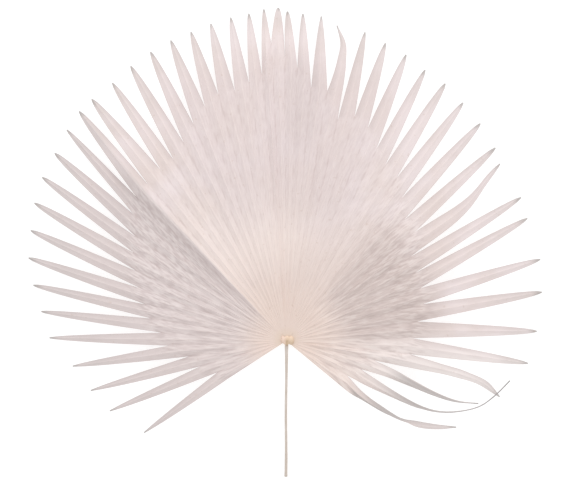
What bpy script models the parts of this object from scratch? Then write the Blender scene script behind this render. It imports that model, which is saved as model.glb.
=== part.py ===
"""A dried fan palm leaf that lies flat, with its stalk towards -Y and its ribbed side up.

The leaf is one pleated sheet on a slim stalk. Forty-eight segments leave the hub side by side. Each
is folded along its midrib, joined to its neighbours as far as the notch between them, and free from
there to its tip. The four segments at the lower right dried thin and curled. The stalk ends in a
head that holds the inner edge of the sheet: two small lobes above it and a short keel below.

Lengths are in millimetres from the hub, where all the folds meet, and bearings are in degrees
anticlockwise from +X. MM turns them into metres.
"""

import math
import random

import bmesh
import bpy
import numpy as np
from mathutils import Vector

MM = 0.001

# The plan of the sheet, from the lower left round to the lower right. Fold 0 is the outer edge of the
# first segment and fold 48 that of the last. Between them a fold runs from the hub to its notch.
SEGMENTS = 48
FOLD_BEARINGS = (
    *(212.5, 204.1, 196.1, 188.7, 182.1, 176.0, 170.4, 165.3, 160.0, 154.9, 149.9, 145.2, 140.3),
    *(136.3, 131.4, 126.2, 121.8, 117.3, 113.1, 109.1, 105.4, 101.6, 98.2, 95.2, 92.9, 90.3, 87.7),
    *(84.4, 80.7, 76.9, 73.1, 69.1, 64.9, 60.7, 56.0, 51.2, 45.9, 40.4, 34.3, 28.0, 21.7, 15.3, 8.7),
    *(1.5, -5.9, -12.2, -20.4, -29.1, -39.2),
)
NOTCH_REACHES = (
    *(72, 81, 96, 105, 126, 134, 147, 155, 167, 178, 189, 197, 212, 219, 222, 228, 228, 239, 252),
    *(265, 274, 273, 279, 286, 320, 304, 293, 272, 271, 242, 251, 244, 227, 216, 211, 197, 181, 180),
    *(161, 155, 154, 151, 141, 134, 133, 96, 85, 74, 84),
)
TIP_REACHES = (
    *(181.6, 203.6, 216.5, 230.9, 254.5, 265.2, 278.5, 290.9, 299.1, 308.3, 315.6, 319.9, 326.9),
    *(332.0, 332.8, 333.9, 338.9, 342.5, 345.4, 347.1, 350.0, 352.3, 353.9, 357.1, 358.2, 353.9),
    *(351.8, 350.6, 344.0, 341.9, 336.6, 332.8, 326.4, 324.2, 318.0, 312.6, 305.2, 301.0, 295.3),
    *(290.4, 286.4, 279.7, 269.4, 260.7, 249.2, 239.5, 231.0, 223.7),
)

# Degrees by which the tips lean away from the middle of their own segment, at some of the segments.
TIP_LEANS = (
    (1, 4.5),
    (2, 1.5),
    (3, 1.8),
    (4, 1.3),
    (5, 0.2),
    (8, -0.5),
    (11, -1.4),
    (13, -2.2),
    (14, -1.8),
    (15, 0.0),
    (25, -0.2),
    (26, 0.8),
    (28, 1.3),
    (30, 0.7),
    (33, 0.1),
    (37, -0.4),
    (39, 0.3),
    (40, 2.1),
    (41, -0.7),
    (42, -1.2),
    (43, -2.9),
    (44, -3.1),
)

# Bent and curled segments: points along the midrib, out from the notches, as x, y, height and the
# number of degrees by which the strip has turned on its side.
ROUTES = {
    29: ((59.5, 300, 13, 0), (61, 318, 9.5, 0), (54.3, 338.5, 7, 0)),
    38: ((198, 151.5, 15, 0), (217, 176, 11.5, 0), (229, 190, 9, 0)),
    45: ((150, -26, 17, 0), (187, -35.5, 12, 0), (212, -45.5, 7, 10), (229, -60, 4, 20)),
    46: (
        (111, -34, 19, 24),
        (127, -41.8, 17, 34),
        (142, -49, 15, 42),
        (157, -56, 12, 44),
        (182, -64.7, 9, 44),
        (206, -67.3, 7, 40),
    ),
    47: (
        (94, -46, 19, 22),
        (110, -54.8, 18, 40),
        (127, -63.6, 17, 52),
        (142, -70.4, 16, 60),
        (163, -75.5, 14, 82),
        (186, -75.3, 13, 68),
        (209, -69, 13, 45),
        (224, -57.5, 15, 25),
        (239, -42, 18, 15),
    ),
    48: (
        (78, -55.8, 19, 48),
        (90, -64.8, 18, 60),
        (101, -72, 16, 63),
        (112, -78.4, 14, 72),
        (124, -84, 11, 84),
        (140, -89.2, 8, 42),
        (160, -92.1, 6, 20),
        (182.5, -92.6, 4.5, 15),
    ),
}

# The form of the sheet. Its crown stands over the hub, and a few tips touch down on the surface.
SHEET_THICKNESS = 0.9
HUB_TOP = 5.0
CROWN_HEIGHT = 15.0
WAVE_HEIGHT = 2.2
WAVES_ROUND_THE_FAN = 5
RESTING_SEGMENTS = (7, 25, 42)
RESTING_TIP_HEIGHT = 0.78
TIP_HEIGHTS = (
    # segment, height of the upper side of its tip. A resting one just touches with its underside.
    (1, 8),
    (4, 5),
    (7, RESTING_TIP_HEIGHT),
    (10, 5),
    (14, 7),
    (18, 9),
    (22, 5),
    (25, RESTING_TIP_HEIGHT),
    (28, 5),
    (33, 11),
    (38, 9),
    (42, RESTING_TIP_HEIGHT),
    (44, 4),
    (48, 7),
)
LEAST_TIP_HEIGHT = 2.6
TIP_SCATTER = 1.8
SEED = 14

# The old crease on the left: the sheet falls away beside segment 14 and comes back further round.
CREASE_PLACE = 13.7
CREASE_FOLDS_DOWN = 0.8
CREASE_FOLDS_BACK = 8.0
CREASE_DROP = 10.0
CREASE_FULL_REACH = 130.0

# The pleats: the rise of a midrib over the folds beside it, for each millimetre sideways.
PLEAT_RISES = ((0, 0.42), (8, 0.46), (14, 0.32), (24, 0.26), (34, 0.30), (40, 0.38), (48, 0.34))
TIP_PLEAT_RISE = 0.55
FLAT_REACH = 11.0

# A free tip narrows from the notches to a blunt point. A taper of 1 is a straight point, and less is a
# strap with a short round point.
TIP_TAPERS = (
    # segment, taper of its tip
    (1, 0.56),
    (4, 0.56),
    (6, 0.48),
    (7, 0.42),
    (12, 0.42),
    (13, 0.48),
    (18, 0.50),
    (21, 0.56),
    (24, 0.50),
    (25, 0.42),
    (26, 0.42),
    (28, 0.62),
    (30, 0.53),
    (34, 0.45),
    (42, 0.46),
    (44, 0.50),
    (45, 0.70),
    (46, 0.90),
    (47, 1.00),
    (48, 0.62),
)
TIP_HALF_WIDTH = 0.6

INNER_REACH = 5.0
JOINED_ROWS = 8
FREE_ROWS = 9

# The stalk and its head.
STALK_RADIUS = 1.45
STALK_ROUTE = ((0.3, 1, 3.0), (0.2, -30, 2.4), (-0.4, -80, 2.0), (-0.1, -120, 2.1), (-0.4, -145.5, 2.2))
STALK_SWELLINGS = (1.35, 1.0, 0.92, 0.97, 1.12)
SEAT_GAP = 0.3
NECK_RADIUS = 4.2
LOBES = (
    # centre x, centre y, half width, half length, height
    (-3.1, 1.2, 2.9, 4.4, 2.6),
    (4.9, 0.7, 3.9, 5.0, 3.1),
)
KEEL_MIDDLE = 6.0
KEEL_HALF_WIDTH = 4.0
KEEL_HALF_LENGTH = 10.5
ROUND_STEPS = 16


def smooth_step(t):
    """Ease from 0 to 1 as t goes from 0 to 1."""
    t = min(max(t, 0.0), 1.0)
    return t * t * (3 - 2 * t)


def smooth_curve(places, values):
    """A smooth curve through values, one at each of the places, as a function of the place."""
    places = np.array(places, float)
    values = np.array(values, float)
    slopes = np.gradient(values, places, axis=0)

    def at(place):
        i = int(np.clip(np.searchsorted(places, place, side="right") - 1, 0, len(places) - 2))
        span = places[i + 1] - places[i]
        t = (place - places[i]) / span
        start = (2 * t**3 - 3 * t**2 + 1) * values[i] + (t**3 - 2 * t**2 + t) * span * slopes[i]
        end = (3 * t**2 - 2 * t**3) * values[i + 1] + (t**3 - t**2) * span * slopes[i + 1]
        return start + end

    return at


def straight_curve(points):
    """Straight lines through (place, value) points, as a function of the place."""
    places, values = zip(*points)
    return lambda place: float(np.interp(place, places, values))


# Places round the fan count folds, so the middle of the first segment is at place 0.5.
tip_reach = smooth_curve([segment - 0.5 for segment in range(1, SEGMENTS + 1)], TIP_REACHES)
tip_lean = straight_curve(TIP_LEANS)
tip_taper = straight_curve(TIP_TAPERS)
tip_base_height = straight_curve(TIP_HEIGHTS)
pleat_rise = straight_curve(PLEAT_RISES)


def polar(reach, bearing):
    angle = math.radians(bearing)
    return Vector((reach * math.cos(angle), reach * math.sin(angle), 0))


def tip_heights():
    """The height of each tip. All but those that rest on the surface vary a little."""
    draw = random.Random(SEED)
    heights = {}
    for segment in range(1, SEGMENTS + 1):
        height = tip_base_height(segment)
        scatter = draw.uniform(-TIP_SCATTER, TIP_SCATTER)
        if segment not in RESTING_SEGMENTS:
            height = max(height + scatter, LEAST_TIP_HEIGHT)
        heights[segment] = height
    return heights


def crease_drop(place, reach):
    """How far the sheet has fallen on the left of the crease."""
    past = CREASE_PLACE - place
    fall = smooth_step(past / CREASE_FOLDS_DOWN)
    recovery = smooth_step((past - CREASE_FOLDS_DOWN) / CREASE_FOLDS_BACK)
    fade = 1 - smooth_step((reach / tip_reach(place) - 0.7) / 0.3)
    return CREASE_DROP * fall * (1 - recovery) * smooth_step(reach / CREASE_FULL_REACH) * fade


def sheet_height(place, reach, tip_height):
    """The height of the unpleated sheet, out along the fan and round it."""
    share = (reach - FLAT_REACH) / (tip_reach(place) - FLAT_REACH)
    share = min(max(share, 0.0), 1.0)
    crown = CROWN_HEIGHT * math.sin(math.pi * share)
    turn = 2 * math.pi * WAVES_ROUND_THE_FAN * place / SEGMENTS
    wave = WAVE_HEIGHT * math.sin(turn + 2.5 * share) * math.sin(math.pi * share)
    hub = HUB_TOP * (1 - share**2)
    return hub + crown + wave + tip_height * share**2 - crease_drop(place, reach)


def joined_reach(row, notch):
    """How far out a row crosses a fold. The first two rows are alike at every fold."""
    if row == 0:
        return INNER_REACH
    return FLAT_REACH + (notch - FLAT_REACH) * (row - 1) / (JOINED_ROWS - 1)


def midrib_lift(place, half_width, reach, rise):
    return half_width * rise * smooth_step((reach - FLAT_REACH) / FLAT_REACH)


def joined_point(fold, row, heights):
    """A point of the fold between two segments, where they are joined."""
    reach = joined_reach(row, NOTCH_REACHES[fold])
    neighbours = [heights[s] for s in (fold, fold + 1) if s in heights]
    point = polar(reach, FOLD_BEARINGS[fold])
    point.z = sheet_height(fold, reach, sum(neighbours) / len(neighbours))
    return point


def midrib_point(segment, left, right, heights):
    """The point of a midrib between two points of the folds beside it, where they are joined."""
    place = segment - 0.5
    point = (left + right) / 2
    reach = point.xy.length
    half_width = (left.xy - right.xy).length / 2
    height = sheet_height(place, reach, heights[segment])
    point.z = height + midrib_lift(place, half_width, reach, pleat_rise(place))
    return point


def midrib_route(segment, start, heights):
    """The midrib of a free tip as a curve from its start to its end: x, y, height, turn."""
    place = segment - 0.5
    if segment in ROUTES:
        points = [(start.x, start.y, start.z, 0.0)] + list(ROUTES[segment])
    else:
        middle = (FOLD_BEARINGS[segment - 1] + FOLD_BEARINGS[segment]) / 2
        end = polar(TIP_REACHES[segment - 1], middle + tip_lean(segment))
        points = []
        for share in (0.0, 0.33, 0.67, 1.0):
            x, y, _ = start.lerp(end, share)
            points.append((x, y, sheet_height(place, math.hypot(x, y), heights[segment]), 0.0))
    lengths = [math.dist(a[:2], b[:2]) for a, b in zip(points, points[1:])]
    travelled = np.concatenate(([0.0], np.cumsum(lengths)))
    return smooth_curve(travelled / travelled[-1], points)


def free_row(segment, share, left, right, route):
    """Three points across a free tip: its left edge, its midrib and its right edge."""
    x, y, z, turn = route(share)
    ahead = Vector(route(min(share + 0.01, 1.0))[:2]) - Vector(route(share - 0.01)[:2])
    along = ahead.normalized().to_3d()
    sideways = Vector((-along.y, along.x, 0))
    start = (left + right) / 2
    half_width = abs((left - start).dot(sideways))
    offset = (left - start).dot(along)
    half_width = max(half_width * (1 - share) ** tip_taper(segment), TIP_HALF_WIDTH)
    offset *= (1 - share) ** 2
    rise = pleat_rise(segment - 0.5) * (1 - share) + TIP_PLEAT_RISE * share
    angle = math.radians(turn)
    across = math.cos(angle) * sideways + Vector((0, 0, math.sin(angle)))
    upright = Vector((0, 0, math.cos(angle))) - math.sin(angle) * sideways
    centre = Vector((x, y, z))
    return (
        centre + across * half_width + along * offset,
        centre + upright * half_width * rise,
        centre - across * half_width - along * offset,
    )


def sheet_faces(mesh, near, far):
    """Four triangles between two rows of three points, alike on both sides of the midrib."""
    mesh.faces.new((near[0], near[1], far[1]))
    mesh.faces.new((near[0], far[1], far[0]))
    mesh.faces.new((near[1], near[2], far[1]))
    mesh.faces.new((near[2], far[2], far[1]))


def make_blade_surface(name):
    """The upper surface of the whole sheet, joined along the folds as far as the notches."""
    heights = tip_heights()
    mesh = bmesh.new()
    fold_rows = [
        [mesh.verts.new(joined_point(fold, row, heights) * MM) for row in range(JOINED_ROWS + 1)]
        for fold in range(SEGMENTS + 1)
    ]
    for segment in range(1, SEGMENTS + 1):
        left, right = fold_rows[segment - 1], fold_rows[segment]
        rows = []
        for a, b in zip(left, right):
            rib = midrib_point(segment, a.co / MM, b.co / MM, heights)
            rows.append((a, mesh.verts.new(rib * MM), b))
        a, rib, b = (vertex.co / MM for vertex in rows[-1])
        start = (a + b) / 2
        route = midrib_route(segment, start, heights)
        for step in range(1, FREE_ROWS + 1):
            row = free_row(segment, step / FREE_ROWS, a, b, route)
            rows.append([mesh.verts.new(point * MM) for point in row])
        for near, far in zip(rows, rows[1:]):
            sheet_faces(mesh, near, far)
    bmesh.ops.recalc_face_normals(mesh, faces=mesh.faces[:])
    surface = bpy.data.meshes.new(name)
    mesh.to_mesh(surface)
    mesh.free()
    return surface


def make_material(name, colour, roughness):
    material = bpy.data.materials.new(name)
    material.use_nodes = True
    shader = material.node_tree.nodes["Principled BSDF"]
    shader.inputs["Base Color"].default_value = (*colour, 1.0)
    shader.inputs["Roughness"].default_value = roughness
    shader.inputs["Metallic"].default_value = 0.0
    return material


def new_collection(name):
    collection = bpy.data.collections.new(name)
    bpy.context.scene.collection.children.link(collection)
    return collection


def make_blade(collection):
    surface = make_blade_surface("blade")
    blade = bpy.data.objects.new("blade", surface)
    collection.objects.link(blade)
    surface.materials.append(make_material("dried leaf", (0.80, 0.71, 0.71), 0.75))
    shell = blade.modifiers.new("sheet thickness", "SOLIDIFY")
    shell.thickness = SHEET_THICKNESS * MM
    shell.offset = -1.0
    return blade


def mesh_object(name, mesh, collection):
    data = bpy.data.meshes.new(name)
    mesh.to_mesh(data)
    mesh.free()
    made = bpy.data.objects.new(name, data)
    collection.objects.link(made)
    return made


def make_stalk_tube(collection):
    """The slim stalk, as a bevelled curve made into a mesh with its caps welded on."""
    curve = bpy.data.curves.new("stalk tube", "CURVE")
    curve.dimensions = "3D"
    curve.bevel_depth = STALK_RADIUS * MM
    curve.bevel_resolution = 3
    curve.resolution_u = 4
    curve.use_fill_caps = True
    spline = curve.splines.new("NURBS")
    spline.points.add(len(STALK_ROUTE) - 1)
    for point, place, swelling in zip(spline.points, STALK_ROUTE, STALK_SWELLINGS):
        point.co = (*(Vector(place) * MM), 1.0)
        point.radius = swelling
    spline.use_endpoint_u = True
    spline.order_u = 3
    guide = bpy.data.objects.new("stalk guide", curve)
    collection.objects.link(guide)
    view = bpy.context.evaluated_depsgraph_get()
    data = bpy.data.meshes.new_from_object(guide.evaluated_get(view))
    bpy.data.objects.remove(guide)
    mesh = bmesh.new()
    mesh.from_mesh(data)
    bmesh.ops.remove_doubles(mesh, verts=mesh.verts[:], dist=0.00001)
    return mesh_object("stalk tube", mesh, collection)


def make_rounded(name, centre, radii, cut_height, keep_above, collection):
    """An ellipsoid cut level at cut_height."""
    mesh = bmesh.new()
    bmesh.ops.create_uvsphere(mesh, u_segments=ROUND_STEPS, v_segments=ROUND_STEPS // 2, radius=MM)
    bmesh.ops.scale(mesh, vec=radii, verts=mesh.verts[:])
    bmesh.ops.translate(mesh, vec=Vector(centre) * MM, verts=mesh.verts[:])
    everything = mesh.verts[:] + mesh.edges[:] + mesh.faces[:]
    cut = bmesh.ops.bisect_plane(
        mesh,
        geom=everything,
        dist=1e-7,
        plane_co=(0, 0, cut_height * MM),
        plane_no=(0, 0, -1) if keep_above else (0, 0, 1),
        clear_outer=True,
    )
    rim = [item for item in cut["geom_cut"] if isinstance(item, bmesh.types.BMEdge)]
    bmesh.ops.contextual_create(mesh, geom=rim)
    bmesh.ops.recalc_face_normals(mesh, faces=mesh.faces[:])
    return mesh_object(name, mesh, collection)


def make_neck(collection):
    """The round neck in the gap at the hub, between the keel and the lobes."""
    low, high = 1.2, HUB_TOP + SEAT_GAP + 1.2
    mesh = bmesh.new()
    bmesh.ops.create_cone(
        mesh,
        cap_ends=True,
        segments=ROUND_STEPS,
        radius1=NECK_RADIUS * MM,
        radius2=NECK_RADIUS * MM,
        depth=(high - low) * MM,
    )
    bmesh.ops.translate(mesh, vec=(0, 0, (low + high) / 2 * MM), verts=mesh.verts[:])
    return mesh_object("neck", mesh, collection)


def make_stalk(collection, cutters):
    """The stalk with its head: tube, keel, neck and lobes joined into one body."""
    stalk = make_stalk_tube(collection)
    stalk.name = "stalk"
    seat = HUB_TOP + SEAT_GAP
    for index, (x, y, half_width, half_length, height) in enumerate(LOBES, 1):
        centre, radii = (x, y, seat), (half_width, half_length, height)
        make_rounded(f"lobe_{index}", centre, radii, seat, True, cutters)
    keel_top = HUB_TOP - SHEET_THICKNESS - SEAT_GAP
    keel_radii = (KEEL_HALF_WIDTH, KEEL_HALF_LENGTH, keel_top)
    make_rounded("keel", (0, KEEL_MIDDLE, 0), keel_radii, 0.0, True, cutters)
    make_neck(cutters)
    union = stalk.modifiers.new("grown together", "BOOLEAN")
    union.operation = "UNION"
    union.operand_type = "COLLECTION"
    union.collection = cutters
    union.solver = "EXACT"
    view = bpy.context.evaluated_depsgraph_get()
    joined = bpy.data.meshes.new_from_object(stalk.evaluated_get(view))
    stalk.modifiers.clear()
    stalk.data = joined
    for piece in list(cutters.objects):
        bpy.data.objects.remove(piece)
    joined.materials.clear()
    joined.materials.append(make_material("dried stalk", (0.66, 0.55, 0.44), 0.6))
    joined.shade_smooth()
    joined.set_sharp_from_angle(angle=math.radians(40))
    return stalk


def centre_in_plan(collection):
    """Carry the whole leaf on an empty, so that the middle of its plan lies over the origin."""
    view = bpy.context.evaluated_depsgraph_get()
    corners = np.array([
        corner for piece in collection.objects for corner in piece.evaluated_get(view).bound_box
    ])
    middle = (corners.min(axis=0) + corners.max(axis=0)) / 2
    carrier = bpy.data.objects.new("leaf", None)
    for piece in list(collection.objects):
        piece.parent = carrier
    collection.objects.link(carrier)
    carrier.location = (-middle[0], -middle[1], 0)


def main():
    for item in list(bpy.data.objects):
        bpy.data.objects.remove(item)
    leaf = new_collection("fan palm leaf")
    cutters = new_collection("pieces grown into the stalk")
    make_blade(leaf)
    make_stalk(leaf, cutters)
    centre_in_plan(leaf)


main()
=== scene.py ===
# %% [markdown]
# # A dried fan palm leaf
# The real leaf is one thin sheet, pleated like a paper fan, on a slim stalk. It has dried flat and pale,
# with the free tips of its segments spread like rays. This lesson makes the sheet from one strip that is
# modelled once, copied 48 times and bent into place, then makes the stalk with the small knob that holds
# the sheet, and then gives both their dried finish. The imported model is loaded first, because every
# piece has to lie where that model says.

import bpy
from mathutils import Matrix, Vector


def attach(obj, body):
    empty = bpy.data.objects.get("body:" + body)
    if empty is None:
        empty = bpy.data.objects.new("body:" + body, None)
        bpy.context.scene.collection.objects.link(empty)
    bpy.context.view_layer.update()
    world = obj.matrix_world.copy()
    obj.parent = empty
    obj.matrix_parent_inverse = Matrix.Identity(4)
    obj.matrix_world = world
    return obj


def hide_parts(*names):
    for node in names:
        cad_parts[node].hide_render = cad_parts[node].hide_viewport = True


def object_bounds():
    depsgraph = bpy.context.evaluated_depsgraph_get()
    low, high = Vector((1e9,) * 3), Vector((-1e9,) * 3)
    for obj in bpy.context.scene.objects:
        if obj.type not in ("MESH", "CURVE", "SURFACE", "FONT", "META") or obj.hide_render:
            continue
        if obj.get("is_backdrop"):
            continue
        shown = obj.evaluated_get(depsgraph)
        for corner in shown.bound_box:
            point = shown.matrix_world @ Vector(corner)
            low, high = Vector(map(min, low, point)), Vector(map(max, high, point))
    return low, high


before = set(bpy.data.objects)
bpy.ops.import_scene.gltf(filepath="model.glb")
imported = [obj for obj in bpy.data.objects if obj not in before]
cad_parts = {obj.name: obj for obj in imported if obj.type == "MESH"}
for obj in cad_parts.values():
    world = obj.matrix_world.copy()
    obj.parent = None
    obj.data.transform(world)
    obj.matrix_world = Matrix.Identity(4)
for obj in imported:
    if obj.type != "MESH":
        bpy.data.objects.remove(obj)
packed_low, packed_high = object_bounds()
packed_size = [round(high - low, 4) for low, high in zip(packed_low, packed_high)]
print("packed leaf, in metres:", packed_size)

# %% Tools
import math
import random

import bpy
import numpy as np
from mathutils import Vector

MM = 0.001
HUB = Vector((1.121, -106.307, 0.0))


def leave_nothing_selected():
    """An operator acts on all that is selected, so each piece starts with nothing selected."""
    if bpy.context.object is not None and bpy.context.object.mode != "OBJECT":
        bpy.ops.object.mode_set(mode="OBJECT")
    bpy.ops.object.select_all(action="DESELECT")


def pick(*pieces):
    """Selects these pieces alone and makes the last of them active."""
    leave_nothing_selected()
    for piece in pieces:
        piece.select_set(True)
    bpy.context.view_layer.objects.active = pieces[-1]


def count_triangles(piece):
    return sum(len(face.vertices) - 2 for face in piece.data.polygons)


leave_nothing_selected()
print("hub of the fan, in millimetres from the middle:", tuple(round(x, 1) for x in HUB))

# %% [markdown]
# ## The plan of the fan
# Every fold of the sheet starts at the hub, where the knob of the stalk is. A fold is known by its
# bearing and by how far the sheet is joined along it, where the notch is. Both tables go round the fan
# from the lower left to the lower right, and so does the third, of how far the tip of each segment
# reaches. A real leaf is never quite regular, which a single rule for all the notches would lose.
# Lengths are in millimetres from the hub and bearings are anticlockwise from +X, because those are easy
# to think in. They are turned into metres when a vertex is placed.

# %% The folds, the notches and the tips
SEGMENTS = 48
FOLD_BEARINGS = (
    *(212.5, 204.1, 196.1, 188.7, 182.1, 176.0, 170.4, 165.3, 160.0, 154.9, 149.9, 145.2, 140.3),
    *(136.3, 131.4, 126.2, 121.8, 117.3, 113.1, 109.1, 105.4, 101.6, 98.2, 95.2, 92.9, 90.3, 87.7),
    *(84.4, 80.7, 76.9, 73.1, 69.1, 64.9, 60.7, 56.0, 51.2, 45.9, 40.4, 34.3, 28.0, 21.7, 15.3, 8.7),
    *(1.5, -5.9, -12.2, -20.4, -29.1, -39.2),
)
NOTCH_REACHES = (
    *(72, 81, 96, 105, 126, 134, 147, 155, 167, 178, 189, 197, 212, 219, 222, 228, 228, 239, 252),
    *(265, 274, 273, 279, 286, 320, 304, 293, 272, 271, 242, 251, 244, 227, 216, 211, 197, 181, 180),
    *(161, 155, 154, 151, 141, 134, 133, 96, 85, 74, 84),
)
TIP_REACHES = (
    *(181.6, 203.6, 216.5, 230.9, 254.5, 265.2, 278.5, 290.9, 299.1, 308.3, 315.6, 319.9, 326.9),
    *(332.0, 332.8, 333.9, 338.9, 342.5, 345.4, 347.1, 350.0, 352.3, 353.9, 357.1, 358.2, 353.9),
    *(351.8, 350.6, 344.0, 341.9, 336.6, 332.8, 326.4, 324.2, 318.0, 312.6, 305.2, 301.0, 295.3),
    *(290.4, 286.4, 279.7, 269.4, 260.7, 249.2, 239.5, 231.0, 223.7),
)
opening = FOLD_BEARINGS[0] - FOLD_BEARINGS[-1]
print("the fan opens over", round(opening, 1), "degrees in", SEGMENTS, "segments")

# %% Smooth curves and bearings


def ease(t):
    """From 0 to 1 with a slow start and a slow end."""
    t = np.clip(t, 0.0, 1.0)
    return t * t * (3 - 2 * t)


def smooth_curve(places, values):
    """A smooth curve through values at the places, as a function of one place or of many."""
    places = np.array(places, float)
    values = np.array(values, float).reshape(len(places), -1)
    slopes = np.gradient(values, places, axis=0)

    def at(place):
        place = np.atleast_1d(np.asarray(place, float))
        i = np.clip(np.searchsorted(places, place, side="right") - 1, 0, len(places) - 2)
        span = (places[i + 1] - places[i])[:, None]
        t = (place - places[i])[:, None] / span
        start = (2 * t**3 - 3 * t**2 + 1) * values[i] + (t**3 - 2 * t**2 + t) * span * slopes[i]
        end = (3 * t**2 - 2 * t**3) * values[i + 1] + (t**3 - t**2) * span * slopes[i + 1]
        found = start + end
        return found[:, 0] if found.shape[1] == 1 else found

    return at


def on_bearing(reach, bearing):
    angle = np.radians(bearing)
    return np.stack((reach * np.cos(angle), reach * np.sin(angle)), axis=-1)


# Folds are counted from 0, so the middle of the first segment is at place 0.5.
tip_reach = smooth_curve([segment - 0.5 for segment in range(1, SEGMENTS + 1)], TIP_REACHES)
print("the tips reach", min(TIP_REACHES), "to", max(TIP_REACHES), "mm from the hub")

# %% [markdown]
# ## The form of the sheet
# The leaf dried under a light weight, so it isn't flat: the sheet rises from the hub to a low crown and
# comes down again to the tips, and three of the tips touch the surface that it lies on. It could be
# simulated as cloth, but a dry leaf is stiff and keeps the form that it was pressed into, so a height
# law is truer and is the same each time. The old crease on the left is part of the law: the sheet falls
# away beside segment 14 and comes back further round.

# %% How high the tips stand
RESTING_SEGMENTS = (7, 25, 42)
RESTING_TIP_HEIGHT = 0.78
TIP_HEIGHTS = (
    # segment, height of its tip
    *((1, 8), (4, 5), (7, RESTING_TIP_HEIGHT), (10, 5), (14, 7), (18, 9), (22, 5)),
    *((25, RESTING_TIP_HEIGHT), (28, 5), (33, 11), (38, 9), (42, RESTING_TIP_HEIGHT), (44, 4), (48, 7)),
)
LEAST_TIP_HEIGHT = 2.6
TIP_SCATTER = 1.8
TIP_SEED = 14


def tip_heights():
    """The height of each tip. All but those that rest on the surface vary a little."""
    draw = random.Random(TIP_SEED)
    segments, base = zip(*TIP_HEIGHTS)
    heights = {}
    for segment in range(1, SEGMENTS + 1):
        height = float(np.interp(segment, segments, base))
        scatter = draw.uniform(-TIP_SCATTER, TIP_SCATTER)
        if segment not in RESTING_SEGMENTS:
            height = max(height + scatter, LEAST_TIP_HEIGHT)
        heights[segment] = height
    return heights


heights = tip_heights()
lowest, highest = min(heights.values()), max(heights.values())
print("tips stand", round(lowest, 1), "to", round(highest, 1), "mm high")

# %% The crease
CREASE_PLACE = 13.7
CREASE_FOLDS_DOWN = 1.3
CREASE_FOLDS_BACK = 8.0
CREASE_DROP = 10.0
CREASE_FULL_REACH = 155.0
CREASE_FADE_START = 0.7


def crease_drop(place, reach):
    """How far the sheet has fallen on the left of the crease. place counts folds round the fan."""
    past = CREASE_PLACE - place
    fall = ease(past / CREASE_FOLDS_DOWN)
    recovery = ease((past - CREASE_FOLDS_DOWN) / CREASE_FOLDS_BACK)
    fade = ease((reach / tip_reach(place) - CREASE_FADE_START) / (1 - CREASE_FADE_START))
    return CREASE_DROP * fall * (1 - recovery) * ease(reach / CREASE_FULL_REACH) * (1 - fade)


fallen = float(crease_drop(CREASE_PLACE - CREASE_FOLDS_DOWN, CREASE_FULL_REACH)[0])
print("painted shade left of the crease the sheet has fallen by up to", round(fallen, 1), "mm")

# %% How high the sheet stands
HUB_TOP = 5.0
FLAT_REACH = 11.0
CROWN_HEIGHT = 15.0
WAVE_HEIGHT = 2.2
WAVES_ROUND_THE_FAN = 5
WAVE_SLANT = 2.5


def sheet_height(place, reach, tip_height):
    """The height of the sheet without its pleats."""
    share = np.clip((reach - FLAT_REACH) / (tip_reach(place) - FLAT_REACH), 0.0, 1.0)
    crown = CROWN_HEIGHT * np.sin(np.pi * share)
    turn = 2 * np.pi * WAVES_ROUND_THE_FAN * place / SEGMENTS
    wave = WAVE_HEIGHT * np.sin(turn + WAVE_SLANT * share) * np.sin(np.pi * share)
    hub = HUB_TOP * (1 - share**2)
    return hub + crown + wave + tip_height * share**2 - crease_drop(place, reach)


crown_top = float(sheet_height(24.0, 170.0, heights[24])[0])
print("the crown stands", round(crown_top, 1), "mm high in the middle of the fan")

# %% [markdown]
# ## Camera, floor and light
# The leaf lies on a plain pale floor and the camera hangs straight above it. A long lens from three
# metres up shows the plan with almost no perspective. The light is soft and comes from beyond the tips,
# a little from the right, so that each pleat on the left and on the right has a light side and a shaded
# one, while the pleats at the top, which run towards the light, stay quiet. The floor glows a little by
# itself, which keeps the shadows under the tips faint.

# %% Camera above the leaf
PICTURE_WIDTH = 0.6116
PICTURE_MIDDLE = HUB + Vector((-1.4, 105.15, 0.0))
CAMERA_HEIGHT = 3.0
LEAF_LEVEL = 0.006
SENSOR_WIDTH = 36.0

scene = bpy.context.scene
camera_data = bpy.data.cameras.new("camera above the leaf")
camera_data.sensor_width = SENSOR_WIDTH
camera_data.lens = SENSOR_WIDTH * (CAMERA_HEIGHT - LEAF_LEVEL) / PICTURE_WIDTH
camera_data.clip_start = 0.1
camera_data.clip_end = 20.0
camera = bpy.data.objects.new("camera above the leaf", camera_data)
scene.collection.objects.link(camera)
camera.location = (PICTURE_MIDDLE.x * MM, PICTURE_MIDDLE.y * MM, CAMERA_HEIGHT)
scene.camera = camera
scene.view_settings.view_transform = "Standard"
print("lens, in millimetres:", round(camera_data.lens, 1))

# %% Floor and light
FLOOR_SIZE = 12.0
FLOOR_TONE = 0.45
FLOOR_GLOW = 0.66
ROOM_LIGHT = 0.92
KEY_SIZE = 1.3
KEY_POWER = 11.0
KEY_PLACE = Vector((0.42, 1.62, 1.45))

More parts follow.
